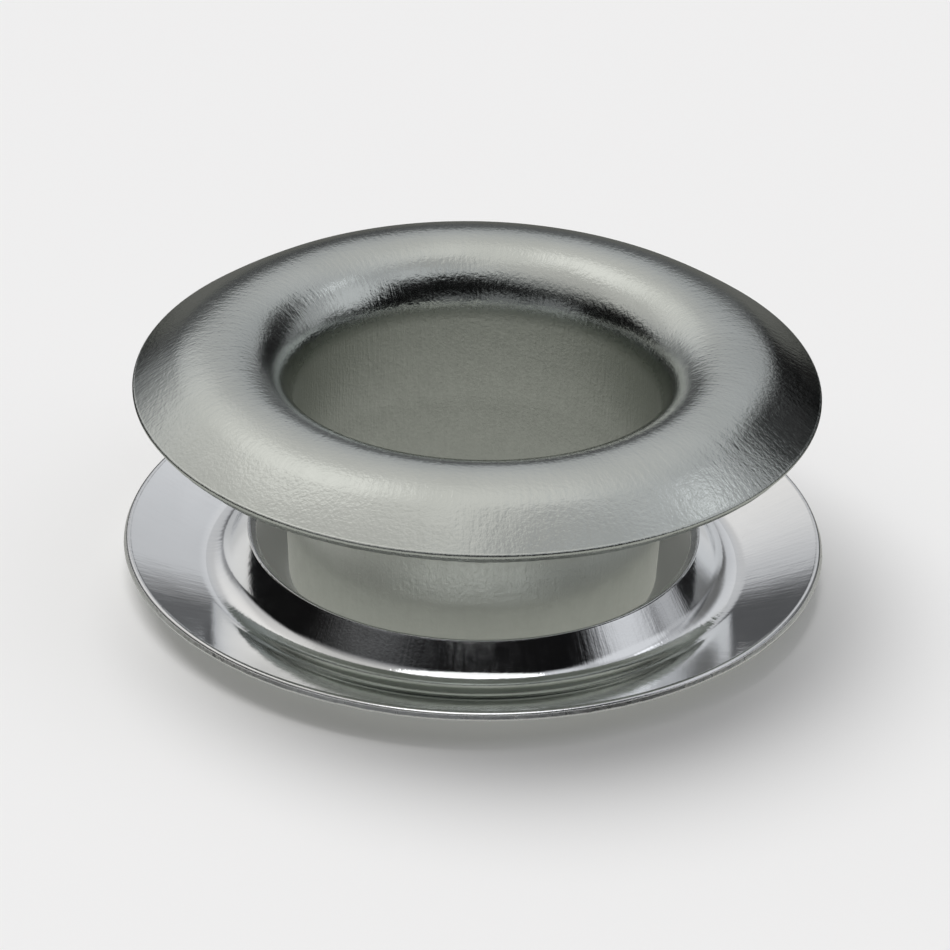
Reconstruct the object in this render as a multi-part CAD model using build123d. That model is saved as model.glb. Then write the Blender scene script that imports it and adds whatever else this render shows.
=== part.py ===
from build123d import *
import math
import os

# Grommet eyelet with its plain washer, in millimetres.
# Both pieces are turned shapes pressed from sheet, so each is one section
# revolved round Z. The eyelet stands on the cut tip of its barrel, dome up.
# The washer lies on the same plane, round the barrel, with its collar up.
# Origin: on the axis, at the level of the tip of the barrel.

# ---- eyelet: driving dimensions -------------------------------------------
flange_d = 19.0        # widest diameter of the domed flange, at its cut rim
total_h = 7.0          # tip of the barrel to the crest of the dome
crest_r = 6.90         # radius of the crest circle
rim_h = 5.47           # height of the lower corner of the cut rim
rim_t = 0.37           # sheet thickness at the rim
crest_t = 0.36         # sheet thickness at the crest
shoulder_angle = 32.5  # slope where the crest runs into the flatter skirt, degrees
rim_angle = 37.0       # slope of the skirt at the rim, degrees
rim_land = 0.20        # straight strip of the skirt next to the rim
rim_roll = 0.10        # rounding of the upper corner of the cut rim
bore_d = 10.10         # straight part of the bore
shank_d = 10.56        # straight part of the barrel, outside
nose_h = 2.60          # height of the slightly closed nose of the barrel
tip_bore_d = 9.80      # bore at the tip
tip_d = 10.26          # barrel at the tip, outside
tip_round = 0.05       # rounding of the two corners of the tip

# ---- washer: driving dimensions -------------------------------------------
washer_d = 19.5        # widest diameter, at the cut rim
washer_t = 0.28        # sheet thickness
dish_angle = 21.6      # slope of the outer dish, rising outward, degrees
valley_r = 7.38        # radius of the circle that the washer rests on
valley_in_r = 0.75     # inside radius of the pressed valley
collar_angle = 57.0    # slope of the collar, rising inward, degrees
collar_edge_r = 6.27   # outer corner of the collar's cut edge
washer_rim_roll = 0.10 # rounding of the upper corner of the cut rim
collar_roll = 0.05     # rounding of the upper corner of the collar


def sind(a):
    return math.sin(math.radians(a))


def cosd(a):
    return math.cos(math.radians(a))


def tand(a):
    return math.tan(math.radians(a))


def arc(centre, radius, a0, a1):
    # arc of a circle in the section plane, from angle a0 to a1, degrees
    am = 0.5 * (a0 + a1)

    def at(a):
        return (centre[0] + radius * cosd(a), centre[1] + radius * sind(a))

    return ("arc", at(a0), at(am), at(a1))


def corner(p, before, after, radius):
    # rounds the corner at p between the points before and after
    ux, uy = before[0] - p[0], before[1] - p[1]
    vx, vy = after[0] - p[0], after[1] - p[1]
    lu, lv = math.hypot(ux, uy), math.hypot(vx, vy)
    ux, uy, vx, vy = ux / lu, uy / lu, vx / lv, vy / lv
    half = 0.5 * math.acos(ux * vx + uy * vy)
    back = radius / math.tan(half)
    bx, by = ux + vx, uy + vy
    lb = math.hypot(bx, by)
    bx, by = bx / lb, by / lb
    far = radius / math.sin(half)
    mid = (p[0] + bx * (far - radius), p[1] + by * (far - radius))
    return ("arc", (p[0] + ux * back, p[1] + uy * back), mid,
            (p[0] + vx * back, p[1] + vy * back))


def revolved(items):
    # items are arcs and points in (radius, height) order round the section
    edges = []
    last = None
    first = None
    for item in items:
        if item[0] == "arc":
            start, mid, end = item[1], item[2], item[3]
        else:
            start, mid, end = item[1], None, item[1]
        if last is not None and math.dist(last, start) > 1e-6:
            edges.append(Line((last[0], 0, last[1]), (start[0], 0, start[1])))
        if mid is not None:
            edges.append(ThreePointArc((start[0], 0, start[1]),
                                       (mid[0], 0, mid[1]),
                                       (end[0], 0, end[1])))
        if first is None:
            first = start
        last = end
    if math.dist(last, first) > 1e-6:
        edges.append(Line((last[0], 0, last[1]), (first[0], 0, first[1])))
    section = make_face(Wire(edges))
    return revolve(section, Axis.Z, 360)


# ---- eyelet section ---------------------------------------------------------
# the rounded upper corner takes the widest point in a little
rim_r = flange_d / 2 + rim_roll * (sind(rim_angle) + cosd(rim_angle) - 1)
rim_top = (rim_r, rim_h + rim_t * cosd(rim_angle))
rim_low = (rim_r - rim_t * sind(rim_angle), rim_h)
under_z = total_h - crest_t


def dome(z_crest, rim_point):
    # skirt and crest arcs, tangent to each other, from the straight strip at
    # the rim to the level crest. Their two radii follow from the rise and run.
    a, b = shoulder_angle, rim_angle
    start = (rim_point[0] - rim_land * cosd(b), rim_point[1] + rim_land * sind(b))
    run, drop = start[0] - crest_r, z_crest - start[1]
    p, q = sind(a), sind(b) - sind(a)
    u, w = 1 - cosd(a), cosd(a) - cosd(b)
    det = p * w - q * u
    r_crest = (run * w - q * drop) / det
    r_skirt = (p * drop - u * run) / det
    c_crest = (crest_r, z_crest - r_crest)
    c_skirt = (c_crest[0] - (r_skirt - r_crest) * sind(a),
               c_crest[1] - (r_skirt - r_crest) * cosd(a))
    return (arc(c_skirt, r_skirt, 90 - b, 90 - a),
            arc(c_crest, r_crest, 90 - a, 90), r_skirt, r_crest)


skirt_show, crest_show, skirt_r, crest_out_r = dome(total_h, rim_top)
skirt_hidden, crest_hidden, skirt_r_under, crest_out_r_under = dome(under_z, rim_low)


# one roll takes the level crest down into the straight bore
roll_r = crest_r - bore_d / 2
roll_r_under = crest_r - shank_d / 2
roll_show = arc((crest_r, total_h - roll_r), roll_r, 90, 180)
roll_hidden = arc((crest_r, under_z - roll_r_under), roll_r_under, 90, 180)


def back(a):
    return ("arc", a[3], a[2], a[1])


nose_in = (bore_d / 2, nose_h)
nose_out = (shank_d / 2, nose_h)
tip_in = (tip_bore_d / 2, 0.0)
tip_out = (tip_d / 2, 0.0)

eyelet_section = [
    corner(rim_top, rim_low, skirt_show[1], rim_roll),
    skirt_show,
    crest_show,
    roll_show,
    ("point", nose_in),
    corner(tip_in, nose_in, tip_out, tip_round),
    corner(tip_out, tip_in, nose_out, tip_round),
    ("point", nose_out),
    back(roll_hidden),
    back(crest_hidden),
    back(skirt_hidden),
    ("point", rim_low),
]
eyelet = revolved(eyelet_section)

# ---- washer section ---------------------------------------------------------
w_centre = (valley_r, washer_t + valley_in_r)
valley_out_r = valley_in_r + washer_t
dish_dir = (cosd(dish_angle), sind(dish_angle))
dish_up = (-sind(dish_angle), cosd(dish_angle))
collar_dir = (-cosd(collar_angle), sind(collar_angle))
collar_under = (-sind(collar_angle), -cosd(collar_angle))

inner_arc = arc(w_centre, valley_in_r, 270 + dish_angle, 270 - collar_angle)
outer_arc = arc(w_centre, valley_out_r, 270 - collar_angle, 270 + dish_angle)

w_rim_low_r = washer_d / 2
run = (w_rim_low_r - outer_arc[3][0]) / dish_dir[0]
w_rim_low = (w_rim_low_r, outer_arc[3][1] + run * dish_dir[1])
w_rim_top = (w_rim_low[0] + washer_t * dish_up[0],
             w_rim_low[1] + washer_t * dish_up[1])
climb = (inner_arc[3][0] - collar_edge_r) / cosd(collar_angle)
w_collar_top = (collar_edge_r, inner_arc[3][1] + climb * sind(collar_angle))
w_collar_low = (w_collar_top[0] + washer_t * collar_under[0],
                w_collar_top[1] + washer_t * collar_under[1])

washer_section = [
    corner(w_rim_top, w_rim_low, inner_arc[1], washer_rim_roll),
    inner_arc,
    corner(w_collar_top, inner_arc[3], w_collar_low, collar_roll),
    ("point", w_collar_low),
    outer_arc,
    ("point", w_rim_low),
]
washer = revolved(washer_section)

print("crest radius", round(crest_out_r, 3), "under", round(crest_out_r_under, 3),
      "skirt radius", round(skirt_r, 3), "under", round(skirt_r_under, 3))
print("bore land z", nose_h, "to", round(roll_show[3][1], 3))
print("shank land z", nose_h, "to", round(roll_hidden[3][1], 3))
print("washer rim top", [round(v, 3) for v in w_rim_top],
      "collar top", [round(v, 3) for v in w_collar_top],
      "collar low", [round(v, 3) for v in w_collar_low])

os.makedirs("parts", exist_ok=True)
for name, shape in (("eyelet", eyelet), ("washer", washer)):
    solid = shape if isinstance(shape, Solid) else shape.solids()[0]
    export_step(solid, "parts/" + name + ".step")
    box = solid.bounding_box()
    print(name, "volume", round(solid.volume, 3), "box",
          [round(v, 3) for v in (box.min.X, box.min.Y, box.min.Z,
                                 box.max.X, box.max.Y, box.max.Z)])
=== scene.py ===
import math

import bpy
import numpy as np
from mathutils import Matrix, Vector


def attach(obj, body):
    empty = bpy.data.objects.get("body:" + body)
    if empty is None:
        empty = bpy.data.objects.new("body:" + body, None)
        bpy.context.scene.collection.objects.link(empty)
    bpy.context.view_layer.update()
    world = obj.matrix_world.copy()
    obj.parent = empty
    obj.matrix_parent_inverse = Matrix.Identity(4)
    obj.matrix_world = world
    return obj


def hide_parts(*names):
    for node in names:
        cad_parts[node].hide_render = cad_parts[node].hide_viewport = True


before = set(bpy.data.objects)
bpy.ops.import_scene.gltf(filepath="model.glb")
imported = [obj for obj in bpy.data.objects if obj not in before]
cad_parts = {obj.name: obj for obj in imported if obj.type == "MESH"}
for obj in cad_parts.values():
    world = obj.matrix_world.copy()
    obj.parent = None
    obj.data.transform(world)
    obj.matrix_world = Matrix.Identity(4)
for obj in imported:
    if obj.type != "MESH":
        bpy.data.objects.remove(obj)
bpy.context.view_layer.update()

# ---------------------------------------------------------------------------
# A grommet eyelet with its washer. Both are pressed from sheet and nickel
# plated. Each visible sheet is turned from the section that its CAD node has,
# fine enough to carry the unevenness of a pressed and blanked piece.
# Sections are in millimetres, the scene is in metres.
# ---------------------------------------------------------------------------
MM = 0.001
TAU = 2.0 * math.pi


def sind(a):
    return math.sin(math.radians(a))


def cosd(a):
    return math.cos(math.radians(a))


def tand(a):
    return math.tan(math.radians(a))


# ---- section tools ----------------------------------------------------------
def arc(centre, radius, a0, a1, step):
    n = max(2, int(math.ceil(abs(a1 - a0) / step)))
    return [(centre[0] + radius * cosd(a0 + (a1 - a0) * k / n),
             centre[1] + radius * sind(a0 + (a1 - a0) * k / n)) for k in range(n + 1)]


def rounded(p, before, after, radius, n):
    """Points of the rounding of the corner at p, from the side of before to that of after."""
    u = np.array(before, float) - p
    v = np.array(after, float) - p
    u /= np.linalg.norm(u)
    v /= np.linalg.norm(v)
    half = 0.5 * math.acos(float(np.dot(u, v)))
    bisector = (u + v) / np.linalg.norm(u + v)
    centre = np.array(p) + bisector * radius / math.sin(half)
    start = np.array(p) + u * radius / math.tan(half) - centre
    end = np.array(p) + v * radius / math.tan(half) - centre
    turn = math.atan2(start[0] * end[1] - start[1] * end[0], float(np.dot(start, end)))
    out = []
    for k in range(n + 1):
        a = turn * k / n
        out.append((centre[0] + start[0] * math.cos(a) - start[1] * math.sin(a),
                    centre[1] + start[0] * math.sin(a) + start[1] * math.cos(a)))
    return out


def run(p, q, pitch):
    """Points between p and q, both left out, closer together near the two ends."""
    length = math.dist(p, q)
    steps, s, total = [], 0.03, 0.0
    while total + s < length / 2 and s < pitch:
        total += s
        steps.append(total)
        s *= 1.9
    middle = length - 2 * total
    n = max(1, int(round(middle / pitch)))
    at = steps + [total + middle * k / n for k in range(1, n)] + [length - x for x in reversed(steps)]
    return [(p[0] + (q[0] - p[0]) * x / length, p[1] + (q[1] - p[1]) * x / length) for x in at]


class Section:
    """A closed section: its points in order, and how much of each is a cut edge."""

    def __init__(self):
        self.points, self.cut = [], []

    def add(self, points, cut=0.0, pitch=0.2, gap_cut=None):
        if self.points and math.dist(self.points[-1], points[0]) > 0.02:
            between = run(self.points[-1], points[0], pitch)
            self.points += between
            self.cut += [cut if gap_cut is None else gap_cut] * len(between)
        for p in points:
            if not self.points or math.dist(self.points[-1], p) > 1e-5:
                self.points.append(p)
                self.cut.append(cut)

    def close(self, pitch=0.2, cut=0.0):
        between = run(self.points[-1], self.points[0], pitch)
        self.points += between
        self.cut += [cut] * len(between)


# ---- the eyelet's section -----------------------------------------------------
flange_d, total_h, crest_r = 19.0, 7.0, 6.90
rim_h, rim_t, crest_t, rim_roll = 5.47, 0.37, 0.36, 0.10
shoulder_angle, rim_angle, rim_land = 32.5, 37.0, 0.20
bore_d, shank_d, nose_h = 10.10, 10.56, 2.60
tip_bore_d, tip_d, tip_round = 9.80, 10.26, 0.05

rim_r = flange_d / 2 + rim_roll * (sind(rim_angle) + cosd(rim_angle) - 1)
rim_top = (rim_r, rim_h + rim_t * cosd(rim_angle))
rim_low = (rim_r - rim_t * sind(rim_angle), rim_h)


def dome(z_crest, rim_point, step):
    """The skirt and crest arcs, from the straight strip at the rim to the level crest."""
    a, b = shoulder_angle, rim_angle
    start = (rim_point[0] - rim_land * cosd(b), rim_point[1] + rim_land * sind(b))
    rise, drop = start[0] - crest_r, z_crest - start[1]
    p, q, u, w = sind(a), sind(b) - sind(a), 1 - cosd(a), cosd(a) - cosd(b)
    det = p * w - q * u
    r_crest, r_skirt = (rise * w - q * drop) / det, (p * drop - u * rise) / det
    c_crest = (crest_r, z_crest - r_crest)
    c_skirt = (c_crest[0] - (r_skirt - r_crest) * sind(a), c_crest[1] - (r_skirt - r_crest) * cosd(a))
    return (arc(c_skirt, r_skirt, 90 - b, 90 - a, 0.4 * step)
            + arc(c_crest, r_crest, 90 - a, 90, step)[1:])


under_z = total_h - crest_t
dome_top = dome(total_h, rim_top, 2.0)
dome_under = dome(under_z, rim_low, 3.5)[::-1]
roll_r, roll_r_under = crest_r - bore_d / 2, crest_r - shank_d / 2
roll_top = arc((crest_r, total_h - roll_r), roll_r, 90, 180, 2.2)
roll_under = arc((crest_r, under_z - roll_r_under), roll_r_under, 180, 90, 4.0)
nose_in, nose_out = (bore_d / 2, nose_h), (shank_d / 2, nose_h)
tip_in, tip_out = (tip_bore_d / 2, 0.0), (tip_d / 2, 0.0)

eyelet = Section()
eyelet.add(rounded(rim_top, rim_low, dome_top[0], rim_roll, 6), cut=0.5)
eyelet.add(dome_top, pitch=0.16)
eyelet.add(roll_top, pitch=0.14)
eyelet.add(rounded(nose_in, roll_top[-1], tip_in, 6.0, 3), pitch=0.3)
eyelet.add(rounded(tip_in, nose_in, tip_out, tip_round, 4), cut=0.7, pitch=0.3, gap_cut=0.0)
eyelet.add(rounded(tip_out, tip_in, nose_out, tip_round, 4), cut=0.7, pitch=0.06, gap_cut=1.0)
eyelet.add(rounded(nose_out, tip_out, roll_under[0], 6.0, 3), pitch=0.3)
eyelet.add(roll_under, pitch=0.3)
eyelet.add(dome_under, pitch=0.3)
eyelet.add(rounded(rim_low, dome_under[-1], rim_top, 0.03, 3), cut=0.8, pitch=0.3, gap_cut=0.0)
eyelet.close(pitch=0.05, cut=1.0)

# ---- the washer's section -----------------------------------------------------
washer_d, washer_t, dish_angle = 19.5, 0.28, 21.6
valley_r, valley_in_r, collar_angle = 7.38, 0.75, 57.0
collar_edge_r, washer_rim_roll, collar_roll = 6.27, 0.10, 0.05

w_centre = (valley_r, washer_t + valley_in_r)
inner_arc = arc(w_centre, valley_in_r, 270 + dish_angle, 270 - collar_angle, 3.0)
outer_arc = arc(w_centre, valley_in_r + washer_t, 270 - collar_angle, 270 + dish_angle, 3.5)
w_rim_low_r = washer_d / 2
w_rim_low = (w_rim_low_r, outer_arc[-1][1] + (w_rim_low_r - outer_arc[-1][0]) * tand(dish_angle))
w_rim_top = (w_rim_low[0] - washer_t * sind(dish_angle), w_rim_low[1] + washer_t * cosd(dish_angle))
climb = (inner_arc[-1][0] - collar_edge_r) / cosd(collar_angle)
w_collar_top = (collar_edge_r, inner_arc[-1][1] + climb * sind(collar_angle))
w_collar_low = (w_collar_top[0] - washer_t * sind(collar_angle),
                w_collar_top[1] - washer_t * cosd(collar_angle))

washer = Section()
washer.add(rounded(w_rim_top, w_rim_low, inner_arc[0], washer_rim_roll, 6), cut=0.3)
washer.add(inner_arc, pitch=0.14)
washer.add(rounded(w_collar_top, inner_arc[-1], w_collar_low, collar_roll, 5), cut=0.5, pitch=0.1, gap_cut=0.0)
washer.add(rounded(w_collar_low, w_collar_top, outer_arc[0], 0.03, 3), cut=0.8, pitch=0.05, gap_cut=1.0)
washer.add(outer_arc, pitch=0.16)
washer.add(rounded(w_rim_low, outer_arc[-1], w_rim_top, 0.03, 3), cut=0.8, pitch=0.2, gap_cut=0.0)
washer.close(pitch=0.05, cut=1.0)


# ---- unevenness of pressed sheet ----------------------------------------------
def ripple(seed, turns, along, count, theta, s):
    """A smooth periodic field between 0 and 1: waves round the axis and along the section."""
    rng = np.random.RandomState(seed)
    total = np.zeros(np.broadcast(theta, s).shape)
    power = 0.0
    for _ in range(count):
        m = rng.randint(turns[0], turns[1] + 1)
        q = rng.uniform(-1, 1) * TAU * along
        a = rng.uniform(0.5, 1.0) / math.sqrt(1 + m / turns[0])
        total = total + a * np.cos(m * theta + q * s + rng.uniform(0, TAU))
        power += a * a / 2
    return np.clip(0.5 + total / (5.0 * math.sqrt(power)), 0.0, 1.0)


def around(section, name, segments, shape):
    """The mesh of a section turned round the axis. shape moves its points a little, always inward."""
    profile = np.array(section.points)
    cut = np.array(section.cut)
    n = len(profile)
    step = np.linalg.norm(np.roll(profile, -1, 0) - profile, axis=1)
    s = np.concatenate([[0.0], np.cumsum(step)[:-1]])
    length = float(step.sum())
    tangent = np.roll(profile, -1, 0) - np.roll(profile, 1, 0)
    tangent /= np.linalg.norm(tangent, axis=1, keepdims=True)
    normal = np.stack([tangent[:, 1], -tangent[:, 0]], 1)
    theta = np.arange(segments) * TAU / segments
    T, S = np.meshgrid(theta, s, indexing="ij")
    dr, dz = shape(T, S, profile, normal, cut)
    R = profile[None, :, 0] + dr
    Z = profile[None, :, 1] + dz
    co = np.stack([R * np.cos(T), R * np.sin(T), Z], -1).reshape(-1, 3) * MM

    i = np.arange(segments)[:, None]
    j = np.arange(n)[None, :]
    i2, j2 = (i + 1) % segments, (j + 1) % n
    quads = np.stack([i * n + j + 0 * j, i2 * n + j, i2 * n + j2, i * n + j2], -1).reshape(-1, 4)
    me = bpy.data.meshes.new(name)
    me.vertices.add(len(co))
    me.vertices.foreach_set("co", co.astype(np.float32).ravel())
    me.loops.add(quads.size)
    me.loops.foreach_set("vertex_index", quads.astype(np.int32).ravel())
    me.polygons.add(len(quads))
    me.polygons.foreach_set("loop_start", np.arange(0, quads.size, 4, dtype=np.int32))
    me.polygons.foreach_set("use_smooth", np.ones(len(quads), bool))
    me.update(calc_edges=True)

    # an unrolled map: two half turns, one above the other
    half = segments // 2
    ii = np.broadcast_to(np.arange(segments)[:, None], (segments, n)).reshape(-1)
    jj = np.broadcast_to(np.arange(n)[None, :], (segments, n)).reshape(-1)
    side = (ii >= half).astype(float)
    u0 = (ii - side * half) / half
    u1 = (ii + 1 - side * half) / half
    s_next = np.append(s[1:], length)
    v0, v1 = s[jj] / length, s_next[jj] / length
    m = 0.01
    u = np.stack([u0, u1, u1, u0], 1) * (1 - 2 * m) + m
    v = np.stack([v0, v0, v1, v1], 1) * (0.5 - 2 * m) + m + 0.5 * side[:, None]
    layer = me.uv_layers.new(name="OFBake")
    layer.data.foreach_set("uv", np.stack([u, v], -1).astype(np.float32).ravel())

    # where a point is on the drawn sheet: round the axis, and along the section
    flow = np.stack([7.0 * np.cos(T), 7.0 * np.sin(T), S], -1).reshape(-1, 3)
    me.attributes.new("flow", "FLOAT_VECTOR", "POINT").data.foreach_set("vector", flow.astype(np.float32).ravel())
    edge = np.broadcast_to(cut[None, :], (segments, n)).reshape(-1)
    me.attributes.new("cut", "FLOAT", "POINT").data.foreach_set("value", edge.astype(np.float32).ravel())
    # the walls of the barrel are drawn and stay duller than the pressed face; the darker base colour they also
    # get is painted shade
    dull_and_shaded_wall = np.clip((5.75 - profile[:, 0]) / 0.35, 0.0, 1.0) * np.clip((5.75 - profile[:, 1]) / 0.5, 0.0, 1.0)
    dull_and_shaded_wall = np.broadcast_to(dull_and_shaded_wall[None, :], (segments, n)).reshape(-1)
    me.attributes.new("dull_and_shaded_wall", "FLOAT", "POINT").data.foreach_set("value", dull_and_shaded_wall.astype(np.float32).ravel())

    ob = bpy.data.objects.new(name, me)
    bpy.context.scene.collection.objects.link(ob)
    return ob


def eyelet_shape(T, S, profile, normal, cut):
    r, z = profile[None, :, 0], profile[None, :, 1]
    # the press leaves broad, shallow waves in the dome
    wave = ripple(11, (2, 6), 0.05, 10, T, S) * 0.010 + ripple(12, (9, 22), 0.10, 12, T, S) * 0.0022
    wave = wave * np.clip((z - 3.0) / 2.0, 0.15, 1.0)
    dr, dz = -wave * normal[None, :, 0], -wave * normal[None, :, 1]
    # the blanked rim is a little ragged, mostly in its lower corner
    near_rim = np.clip((r - 9.05) / 0.30, 0.0, 1.0) * np.clip(1.0 - (z - 5.47) / 0.36, 0.0, 1.0)
    ragged = ripple(21, (5, 19), 0.0, 9, T, 0 * S) * 0.7 + ripple(22, (40, 150), 0.0, 26, T, 0 * S) * 0.3
    dz = dz + near_rim * ragged * 0.055
    dr = dr - near_rim * ragged * 0.012
    # drawing pulls the end of the barrel into four faint ears
    near_tip = np.clip(1.0 - z / 0.8, 0.0, 1.0) * (r < 6.0)
    ears = 0.5 - 0.5 * np.cos(4 * T + 0.7)
    dz = dz + near_tip * (0.030 * ears + 0.014 * ripple(31, (6, 40), 0.0, 18, T, 0 * S)) * (z < 0.8)
    return dr, dz


def washer_shape(T, S, profile, normal, cut):
    r, z = profile[None, :, 0], profile[None, :, 1]
    lift = np.clip((np.abs(r - 7.38) - 0.25) / 0.8, 0.0, 1.0)
    wave = (ripple(41, (2, 5), 0.04, 8, T, S) * 0.009 + ripple(42, (8, 26), 0.08, 12, T, S) * 0.0018) * lift
    dr, dz = -wave * normal[None, :, 0], -wave * normal[None, :, 1]
    near_hole = np.clip((6.32 - r) / 0.20, 0.0, 1.0)
    ragged = ripple(51, (6, 24), 0.0, 9, T, 0 * S) * 0.6 + ripple(52, (40, 140), 0.0, 24, T, 0 * S) * 0.4
    dz = dz - near_hole * ragged * 0.030
    near_rim = np.clip((r - 9.5) / 0.2, 0.0, 1.0) * np.clip(1.0 - (z - 0.861) / 0.26, 0.0, 1.0)
    dz = dz + near_rim * ragged * 0.035
    dr = dr - near_rim * ragged * 0.010
    return dr, dz


eyelet_ob = around(eyelet, "eyelet_sheet", 504, eyelet_shape)
washer_ob = around(washer, "washer_sheet", 540, washer_shape)
for ob in (eyelet_ob, washer_ob):
    print(ob.name, "triangles", 2 * len(ob.data.polygons))


# ---- materials ----------------------------------------------------------------
class Nodes:
    def __init__(self, tree):
        self.tree = tree

    def add(self, kind, **settings):
        node = self.tree.nodes.new(kind)
        for key, value in settings.items():
            setattr(node, key, value)
        return node

    def link(self, a, b):
        self.tree.links.new(a, b)

    def value(self, socket, v):
        if isinstance(v, bpy.types.NodeSocket):
            self.link(v, socket)
        else:
            socket.default_value = v

    def math(self, op, a, b=None, c=None, clamp=False):
        node = self.add("ShaderNodeMath", operation=op, use_clamp=clamp)
        for k, v in enumerate((a, b, c)):
            if v is not None:
                self.value(node.inputs[k], v)
        return node.outputs[0]

    def scaled(self, vector, factors):
        node = self.add("ShaderNodeVectorMath", operation="MULTIPLY")
        self.link(vector, node.inputs[0])
        node.inputs[1].default_value = factors
        return node.outputs[0]

    def noise(self, vector, scale, detail=2.0, rough=0.5, distortion=0.0):
        node = self.add("ShaderNodeTexNoise")
        self.link(vector, node.inputs["Vector"])
        node.inputs["Scale"].default_value = scale
        node.inputs["Detail"].default_value = detail
        node.inputs["Roughness"].default_value = rough
        node.inputs["Distortion"].default_value = distortion
        return node.outputs[0]

    def mapped(self, v, a0, a1, b0, b1, smooth=False):
        node = self.add("ShaderNodeMapRange", clamp=True,
                        interpolation_type="SMOOTHSTEP" if smooth else "LINEAR")
        self.link(v, node.inputs["Value"])
        for name, x in (("From Min", a0), ("From Max", a1), ("To Min", b0), ("To Max", b1)):
            self.value(node.inputs[name], x)
        return node.outputs["Result"]

    def mixed(self, factor, a, b):
        node = self.add("ShaderNodeMix", data_type="RGBA")
        self.value(node.inputs[0], factor)
        for socket, x in ((node.inputs[6], a), (node.inputs[7], b)):
            if isinstance(x, tuple):
                socket.default_value = (*x, 1.0)
            else:
                self.link(x, socket)
        return node.outputs[2]

    def bump(self, height, distance, normal=None, strength=1.0):
        node = self.add("ShaderNodeBump")
        node.inputs["Strength"].default_value = strength
        node.inputs["Distance"].default_value = distance
        self.link(height, node.inputs["Height"])
        if normal is not None:
            self.link(normal, node.inputs["Normal"])
        return node.outputs["Normal"]


def metal(name, shades, roughness, rough_cut, rough_wall, grain, streak, swell):
    """Plated sheet: two close shades, fine grain, drawn streaks along the section, duller walls and cut edges,
    and on the walls a darker colour that is painted shade.
    """
    mat = bpy.data.materials.new(name)
    mat.use_nodes = True
    t = Nodes(mat.node_tree)
    shader = mat.node_tree.nodes["Principled BSDF"]
    shader.inputs["Metallic"].default_value = 1.0

    here = t.add("ShaderNodeTexCoord").outputs["Object"]
    here_mm = t.scaled(here, (1000.0, 1000.0, 1000.0))
    flow = t.add("ShaderNodeAttribute", attribute_name="flow").outputs["Vector"]
    cut = t.add("ShaderNodeAttribute", attribute_name="cut").outputs["Fac"]
    dull_and_shaded_wall = t.add("ShaderNodeAttribute", attribute_name="dull_and_shaded_wall").outputs["Fac"]

    fine = t.noise(here_mm, grain["scale"], 2.0, 0.6)
    drawn = t.noise(t.scaled(flow, (1.0, 1.0, streak["squash"])), streak["scale"], 2.0, 0.55)
    broad = t.noise(here_mm, 0.45, 2.0, 0.5)
    cloud = t.noise(here_mm, 2.3, 3.0, 0.55)

    # colour: a slow drift between two shades, a slightly greyer cut edge, and painted shade on the barrel walls
    drift = t.mapped(broad, 0.35, 0.65, 0.0, 1.0, smooth=True)
    colour = t.mixed(drift, shades[0], shades[1])
    # painted shade: the barrel walls take a darker base colour, so the barrel looks as dark as it would in shade
    colour = t.mixed(dull_and_shaded_wall, colour, shades[3])
    colour = t.mixed(t.math("MULTIPLY", cut, 0.8), colour, shades[2])
    t.link(colour, shader.inputs["Base Color"])

    # roughness: matt in the troughs of the grain, uneven in clouds, dull on the cut edge
    level = t.mapped(cloud, 0.3, 0.7, roughness[0], roughness[1])
    level = t.math("ADD", level, t.mapped(fine, 0.3, 0.7, -grain["rough"], grain["rough"]))
    level = t.math("ADD", level, t.mapped(drawn, 0.3, 0.7, -streak["rough"], streak["rough"]))
    level = t.math("MULTIPLY_ADD", dull_and_shaded_wall, rough_wall, level)
    level = t.math("MULTIPLY_ADD", cut, rough_cut, level, clamp=True)
    t.link(level, shader.inputs["Roughness"])

    normal = t.bump(broad, swell)
    normal = t.bump(drawn, streak["height"], normal)
    normal = t.bump(fine, grain["height"], normal)
    # the shear leaves short marks across the cut edge
    shear = t.noise(t.scaled(flow, (1.0, 1.0, 0.25)), 14.0, 2.0, 0.6)
    shear = t.math("MULTIPLY", shear, cut)
    normal = t.bump(shear, 2.0e-5, normal)
    t.link(normal, shader.inputs["Normal"])
    return mat


satin = metal(
    "satin_nickel",
    # the fourth shade is painted shade for the barrel walls
    shades=((0.582, 0.610, 0.580), (0.614, 0.642, 0.612), (0.50, 0.523, 0.50), (0.50, 0.520, 0.485)),
    roughness=(0.145, 0.190), rough_cut=0.20, rough_wall=0.26,
    grain={"scale": 9.5, "height": 8.5e-6, "rough": 0.03},
    streak={"scale": 7.0, "squash": 0.16, "height": 7.5e-6, "rough": 0.02},
    swell=1.5e-5)
bright = metal(
    "bright_nickel",
    shades=((0.860, 0.872, 0.874), (0.888, 0.900, 0.902), (0.62, 0.63, 0.635), (0.62, 0.63, 0.635)),
    roughness=(0.075, 0.11), rough_cut=0.20, rough_wall=0.0,
    grain={"scale": 12.0, "height": 1.2e-6, "rough": 0.012},
    streak={"scale": 9.0, "squash": 0.10, "height": 3.0e-6, "rough": 0.02},
    swell=1.0e-5)

for ob, mat, node, slot in ((eyelet_ob, satin, "eyelet", "satin_nickel"),
                            (washer_ob, bright, "washer", "bright_nickel")):
    ob.data.materials.append(mat)
    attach(ob, "root")
    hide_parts(node)

# the plain solids behind the sheets carry the same finish
for node, mat in (("eyelet", satin), ("washer", bright)):
    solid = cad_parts[node]
    solid.data.materials.clear()
    solid.data.materials.append(mat)


# ---- floor and backdrop ---------------------------------------------------------
def disc(name, radius, z, segments=96):
    me = bpy.data.meshes.new(name)
    ring = [(radius * math.cos(TAU * k / segments), radius * math.sin(TAU * k / segments), z)
            for k in range(segments)]
    me.from_pydata(ring, [], [tuple(range(segments))])
    ob = bpy.data.objects.new(name, me)
    bpy.context.scene.collection.objects.link(ob)
    return ob


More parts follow.
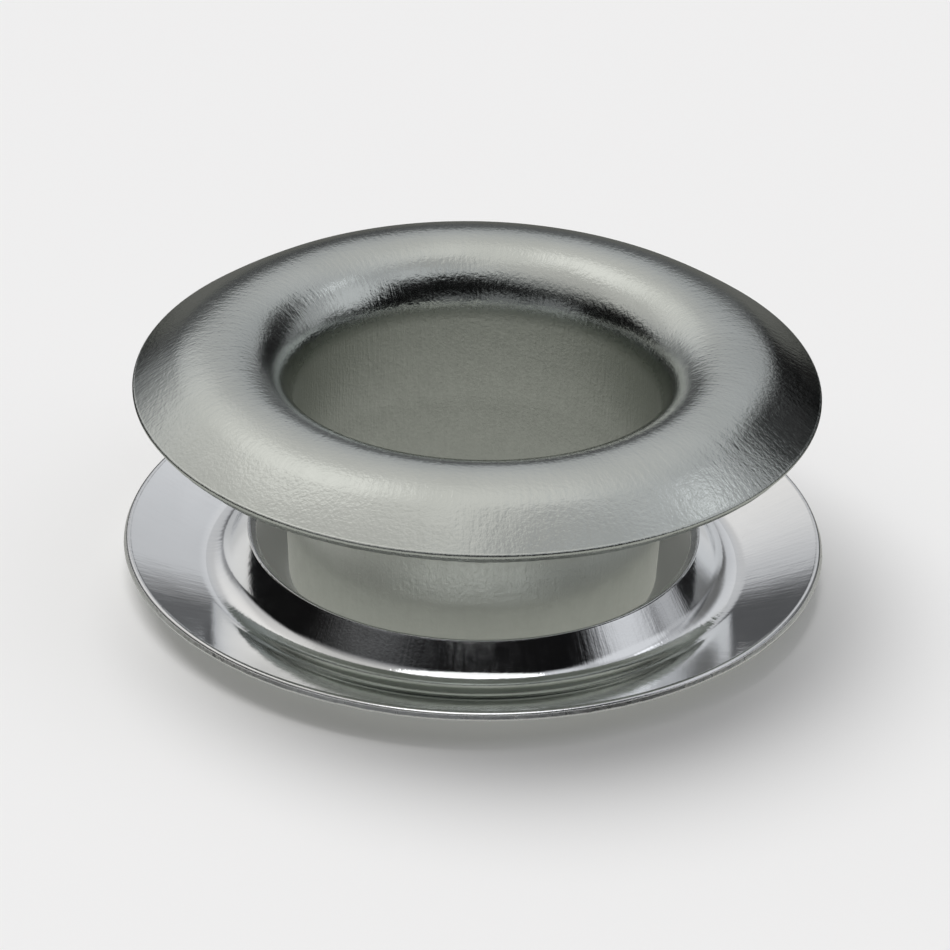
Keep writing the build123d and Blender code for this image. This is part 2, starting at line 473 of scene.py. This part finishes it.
def seen_by(ob, camera=False, diffuse=False, glossy=False, shadow=False):
    ob.visible_camera = camera
    ob.visible_diffuse = diffuse
    ob.visible_glossy = glossy
    ob.visible_transmission = False
    ob.visible_volume_scatter = False
    ob.visible_shadow = shadow


def glowing(name):
    mat = bpy.data.materials.new(name)
    mat.use_nodes = True
    t = Nodes(mat.node_tree)
    for n in list(mat.node_tree.nodes):
        mat.node_tree.nodes.remove(n)
    out = t.add("ShaderNodeOutputMaterial")
    glow = t.add("ShaderNodeEmission")
    t.link(glow.outputs[0], out.inputs["Surface"])
    return mat, t, glow


floor = disc("floor", 0.95, -1.0e-5)
seen_by(floor, camera=True, diffuse=True, shadow=True)
floor_mat = bpy.data.materials.new("floor_paper")
floor_mat.use_nodes = True
shader = floor_mat.node_tree.nodes["Principled BSDF"]
shader.inputs["Base Color"].default_value = (0.86, 0.86, 0.86, 1.0)
shader.inputs["Roughness"].default_value = 1.0
shader.inputs["Specular IOR Level"].default_value = 0.0
floor.data.materials.append(floor_mat)

# what the metal mirrors of the table, painted: a glowing card under the floor that only mirrors see, grey in
# front, darker behind and far to the sides
card = disc("table_card", 4.0, -2.0e-4)
seen_by(card, glossy=True)
card_mat, t, glow = glowing("painted_table_reflection")
place = t.add("ShaderNodeSeparateXYZ")
t.link(t.add("ShaderNodeNewGeometry").outputs["Position"], place.inputs[0])
# painted shade in the reflection: the glow falls off behind the object and far to the sides
depth = t.mapped(place.outputs[1], 0.0, 0.016, 0.0, 1.0, smooth=True)
aside = t.math("MULTIPLY_ADD", place.outputs[1], -0.42, t.math("ABSOLUTE", place.outputs[0]))
far = t.mapped(aside, 0.0, 0.006, 0.14, 0.02, smooth=True)
mirrored_table_glow = t.math("ADD", t.math("MULTIPLY", depth, far),
              t.math("MULTIPLY", t.math("SUBTRACT", 1.0, depth), 0.52))
t.link(mirrored_table_glow, glow.inputs["Strength"])
glow.inputs["Color"].default_value = (1.0, 1.0, 0.94, 1.0)
card.data.materials.append(card_mat)

# a plain pale backdrop, all round and far off
bpy.ops.mesh.primitive_uv_sphere_add(segments=48, ring_count=24, radius=1.0)
backdrop = bpy.context.active_object
backdrop.name = "backdrop"
seen_by(backdrop, camera=True)
back_mat, t, glow = glowing("backdrop_white")
glow.inputs["Strength"].default_value = 0.862
backdrop.data.materials.append(back_mat)


# ---- light ----------------------------------------------------------------------
# a light tent, open towards the camera and dark low down at the back
world = bpy.data.worlds.new("tent")
bpy.context.scene.world = world
world.use_nodes = True
t = Nodes(world.node_tree)
background = world.node_tree.nodes["Background"]
background.inputs["Color"].default_value = (1.0, 1.0, 1.0, 1.0)
way = t.add("ShaderNodeTexCoord").outputs["Generated"]


def toward(azimuth, elevation):
    """A direction: azimuth 0 is the front, 90 the right."""
    return (cosd(elevation) * sind(azimuth), -cosd(elevation) * cosd(azimuth), sind(elevation))


def facing(direction):
    node = t.add("ShaderNodeVectorMath", operation="DOT_PRODUCT")
    t.link(way, node.inputs[0])
    node.inputs[1].default_value = direction
    return node.outputs["Value"]


def cone(direction, half, soft):
    return t.mapped(facing(direction), cosd(half + soft), cosd(max(half - soft, 0.0)), 0.0, 1.0, smooth=True)


tent = cone(toward(176.7, 60.7), 65.1, 5.0)
height = t.add("ShaderNodeSeparateXYZ")
t.link(way, height.inputs[0])
level = t.math("MULTIPLY_ADD", facing((-0.286, 0.231, 0.529)), 0.52, 0.385)
level = t.math("MULTIPLY", level, t.mapped(height.outputs[2], 0.35, 0.80, 0.81, 1.0, smooth=True))
for direction, half, soft, more in ((toward(-15, 87.4), 18.9, 21.5, 0.158),
                                    (toward(-129.2, 58.8), 9.3, 9.4, 0.316),
                                    (toward(-143, 32.3), 9.1, 12.9, 0.192),
                                    (toward(108.5, 47.5), 2.0, 4.5, 0.60)):
    level = t.math("MULTIPLY_ADD", cone(direction, half, soft), more, level)
inside = t.math("MULTIPLY", tent, level)
for direction, half, soft, value in ((toward(85, 35), 17.5, 8.5, 0.694),
                                     (toward(52, 60.4), 10.5, 9.1, 0.95),
                                     (toward(128.5, 24.7), 10.3, 7.6, 0.80),
                                     (toward(-74.8, 68.6), 27.1, 19.5, 0.609),
                                     (toward(-114.3, 29), 6.2, 4.0, 0.50),
                                     (toward(-87.6, 47.4), 11.7, 10.9, 0.571),
                                     (toward(107, 19), 9.0, 6.0, 0.44),
                                     (toward(-44, 9), 13.0, 8.0, 0.20),
                                     (toward(-12, 9), 12.0, 8.0, 0.19),
                                     (toward(20, 6), 11.0, 8.0, 0.18)):
    patch = t.math("MULTIPLY", cone(direction, half, soft), value)
    inside = t.math("MAXIMUM", inside, patch)
# a little darker in front, and dark low down at the back
for direction, half, soft, less in ((toward(51, 66), 10.0, 12.4, 0.373),
                                    (toward(-49.2, 47.9), 28.2, 4.0, 0.183),
                                    (toward(38.3, 27.9), 18.0, 11.6, 0.787),
                                    (toward(135.4, 23.6), 11.8, 8.0, 0.955),
                                    (toward(149.7, 5.6), 12.2, 4.8, 1.0),
                                    (toward(183.2, -15.3), 33.9, 4.5, 0.727),
                                    (toward(-165.3, 4.4), 12.5, 3.0, 0.368),
                                    (toward(-140, 3), 14.4, 6.8, 0.508)):
    inside = t.math("MULTIPLY", inside, t.math("MULTIPLY_ADD", cone(direction, half, soft), -less, 1.0))
outside = t.mapped(height.outputs[2], -0.06, 0.08, 0.03, 0.005, smooth=True)
# slightly cool low down, slightly warm where the tent is brightest
warmth = t.mapped(facing(toward(-115, 62)), 0.45, 0.95, 0.0, 1.0, smooth=True)
t.link(t.mixed(warmth, (0.985, 1.0, 1.045), (1.0, 0.975, 0.95)), background.inputs["Color"])
total = t.math("ADD", inside, outside)
t.link(total, background.inputs["Strength"])

# a broad soft lamp that lights the floor and lays the shadow
lamp = bpy.data.lights.new("soft_lamp", "SUN")
lamp.energy = 1.85
lamp.angle = math.radians(50)
lamp_ob = bpy.data.objects.new("soft_lamp", lamp)
bpy.context.scene.collection.objects.link(lamp_ob)
lamp_ob.visible_glossy = False
lamp_ob.rotation_euler = Vector(toward(-150, 62)).to_track_quat("Z", "Y").to_euler()

# two soft lamps for the washer alone: in front, to reach in under the flange, and low at the back
only_washer = bpy.data.collections.new("only_washer")
only_washer.objects.link(washer_ob)
for name, direction, angle, energy in (("front_lamp", toward(0, 62), 46, 0.50),
                                       ("back_lamp", toward(152, 26), 44, 0.050)):
    fill = bpy.data.lights.new(name, "SUN")
    fill.energy = energy
    fill.angle = math.radians(angle)
    fill_ob = bpy.data.objects.new(name, fill)
    bpy.context.scene.collection.objects.link(fill_ob)
    fill_ob.light_linking.receiver_collection = only_washer
    fill_ob.rotation_euler = Vector(direction).to_track_quat("Z", "Y").to_euler()

# ---- camera ---------------------------------------------------------------------
camera = bpy.data.cameras.new("camera")
camera_ob = bpy.data.objects.new("camera", camera)
bpy.context.scene.collection.objects.link(camera_ob)
camera.sensor_width = 36.0
camera.lens = 250.0
camera.clip_start = 0.01
camera.clip_end = 20.0
away = Vector(toward(0, 29.15))
target = Vector((0.0, 0.0, 2.95 * MM))
camera_ob.location = target + away * 0.183
look = away.to_track_quat("Z", "Y").to_matrix()
camera_ob.rotation_euler = (look @ Matrix.Rotation(math.radians(1.53), 3, "Z")).to_euler()
bpy.context.scene.camera = camera_ob

scene = bpy.context.scene
scene.view_settings.view_transform = "Standard"
scene.view_settings.look = "None"
scene.view_settings.exposure = 0.0
scene.view_settings.gamma = 1.0
